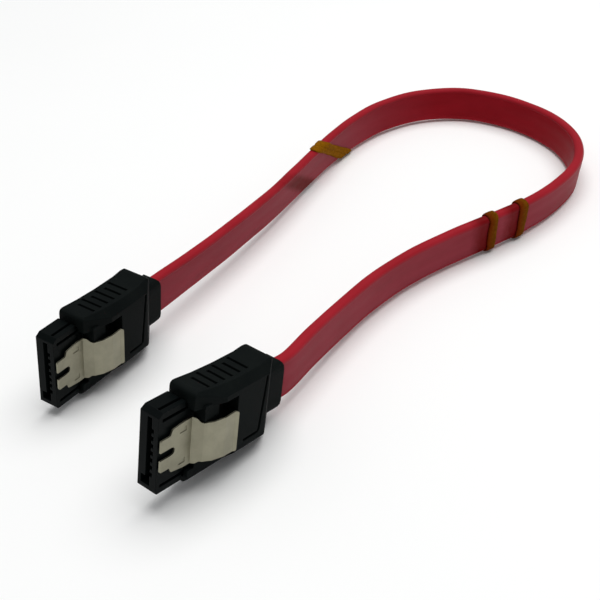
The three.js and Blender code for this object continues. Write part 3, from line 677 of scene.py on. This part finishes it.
# Where the painted shadows and stain lie, the base colour turns to the dark red 620506
fill(shader, {
    "Base Color": add(tree, "Mix", {FACTOR: painted_shadow_and_stain, FIRST: tone, SECOND: linear("620506")},
                      out=MIXED, data_type="RGBA"),
    "Specular IOR Level": 0.03,
    "Roughness": add(tree, "MapRange", {"Value": dull, "From Min": 0.5, "From Max": 1.0,
                                        "To Min": 0.38, "To Max": 0.5}),
    "Normal": add(tree, "Bump", {"Height": relief, "Distance": 0.03 * MM, "Strength": 0.35}),
})
cable.data.materials.append(red)
print("the jacket's tree has", len(tree.nodes), "nodes")

# %% [markdown]
# The bands are aged elastic: dull, with fine cracks. The far one is olive-brown. The two near ones are
# darker, and they turn redder towards the side where the jacket has its painted shadow and stain. Voronoi
# cells give the cracks, and noise mottles the brown.

# %% Aged elastic, one tone for each place on the cable
def elastic(name, light, dark, soaked):
    """Elastic whose edge towards the near plug has soaked up some of the jacket's red."""
    material, tree, shader = finish(name)
    where = add(tree, "TexCoord", {}, out="Object")
    # Mottles of 0.65 mm, and cracks round cells of 0.4 mm
    mottle = add(tree, "TexNoise", {"Vector": where, "Scale": each(0.65), "Detail": 4.0, "Roughness": 0.55})
    crack = add(tree, "TexVoronoi", {"Vector": where, "Scale": each(0.4)}, feature="DISTANCE_TO_EDGE")
    brown = two_tones(tree, mottle, 0.35, 0.7, light, dark)
    strand = add(tree, "Attribute", {}, out="Fac", attribute_name="strand")
    redder = add(tree, "MapRange", {"Value": strand, "From Min": -0.5, "From Max": 1.0, "To Max": soaked})
    brown = add(tree, "Mix", {FACTOR: redder, FIRST: brown, SECOND: linear("641604")},
                out=MIXED, data_type="RGBA")
    cracked = add(tree, "MapRange", {"Value": crack, "From Min": 0.0, "From Max": 0.06,
                                     "To Min": 0.4, "To Max": 0.0})
    relief = add(tree, "Math", {0: mottle, 1: crack}, operation="ADD")
    fill(shader, {
        "Base Color": add(tree, "Mix", {FACTOR: cracked, FIRST: brown, SECOND: linear("2e1804")},
                          out=MIXED, data_type="RGBA"),
        "Specular IOR Level": 0.005,
        "Roughness": add(tree, "MapRange", {"Value": mottle, "From Min": 0.3, "From Max": 0.7,
                                            "To Min": 0.5, "To Max": 0.7}),
        "Normal": add(tree, "Bump", {"Height": relief, "Distance": 0.06 * MM, "Strength": 0.5}),
    })
    return material


olive = elastic("aged_olive_elastic", "8a590a", "754a06", soaked=0.0)
brown = elastic("aged_brown_elastic", "6e4408", "5c3405", soaked=0.8)
for node, piece in bands.items():
    piece.data.materials.append(olive if node == "far_band" else brown)

# %% [markdown]
# The object was photographed against plain white. Here it stands on a pale floor that runs far beyond
# the view, so no edge of it shows. It lies a hair below the object, so that the two don't flicker.

# %% Floor
bpy.ops.mesh.primitive_plane_add(size=6.0, location=(0.0, 0.05, -0.02 * MM))
floor = bpy.context.object
floor.name = "pale_floor"
paper, tree, shader = finish("pale_matt_floor")
where = add(tree, "TexCoord", {}, out="Object")
# Patches of 70 mm, which differ too little to be seen as patches
tint = add(tree, "TexNoise", {"Vector": where, "Scale": each(70.0), "Detail": 2.0, "Roughness": 0.55})
fill(shader, {
    "Base Color": two_tones(tree, tint, 0.0, 1.0, "fbfbfa", "fdfdfc"),
    "Specular IOR Level": 0.15,
    "Roughness": 0.85,
})
floor.data.materials.append(paper)

# %% [markdown]
# A large lamp nearly overhead, and a little behind, makes the cable's upper edge bright and leaves its
# broad faces to the light that the floor throws back. A weak lamp from the front left and a dim pale sky
# keep the shadows open.

# %% Lamps and sky
AIM = Vector((0.0, 0.05, 0.0))


def lamp(name, position, size, power):
    """A round lamp that shines at the middle of the object."""
    data = bpy.data.lights.new(name, "AREA")
    data.shape = "DISK"
    data.size = size
    data.energy = power
    obj = bpy.data.objects.new(name, data)
    obj.location = position
    obj.rotation_euler = (AIM - Vector(position)).to_track_quat("-Z", "Y").to_euler()
    bpy.context.collection.objects.link(obj)
    print(name, "is a lamp of", power, "W and", size, "m across")


lamp("key_overhead", (0.12, 0.24, 1.0), size=1.2, power=10.4)
lamp("left_fill", (-0.9, -0.5, 0.6), size=1.6, power=0.5)

world = bpy.data.worlds.new("soft_room")
world.use_nodes = True
fill(world.node_tree.nodes["Background"], {"Color": linear("eef0f2"), "Strength": 0.35})
scene = bpy.context.scene
scene.world = world
scene.view_settings.view_transform = "Standard"
scene.view_settings.look = "None"
